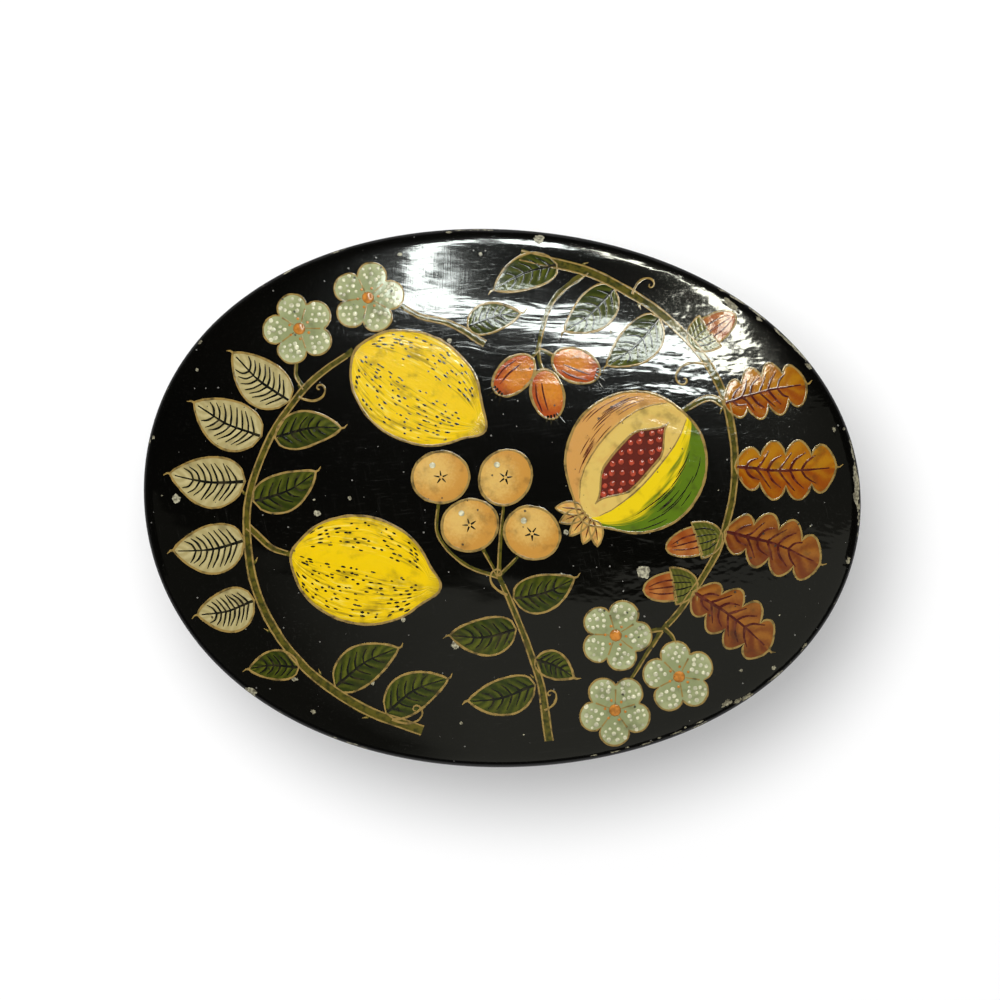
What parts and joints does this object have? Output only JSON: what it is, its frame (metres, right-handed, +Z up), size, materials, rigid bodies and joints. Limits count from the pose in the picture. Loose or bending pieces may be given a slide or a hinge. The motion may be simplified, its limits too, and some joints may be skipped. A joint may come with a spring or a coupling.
{
  "type": "oval lidded box",
  "caption": "Oval papier-mache box with a domed lift-off lid that drops over an inner collar, black lacquer painted with sprays of fruit and leaves.",
  "frame": {"origin": "centre of the underside, on the table", "axes": "+X along the oval's length, +Z up through the lid"},
  "size_m": [0.14, 0.105, 0.0565],
  "materials": {
    "black_lacquer": "gloss black lacquer over papier-mache",
    "inner_paint": "satin black-brown paint over papier-mache",
    "collar_strip": "satin painted pasteboard, rubbed at its edge"
  },
  "bodies": {
    "base": {"base_wall": "black_lacquer", "base_floor": "inner_paint", "collar": "collar_strip"},
    "lid": {"lid_band": "black_lacquer", "lid_dome": "black_lacquer"}
  },
  "joints": [
    {"name": "lid_lift", "type": "slide", "parent": "base", "child": "lid", "axis": [0, 0, 1], "range_m": [0, 0.08]}
  ]
}
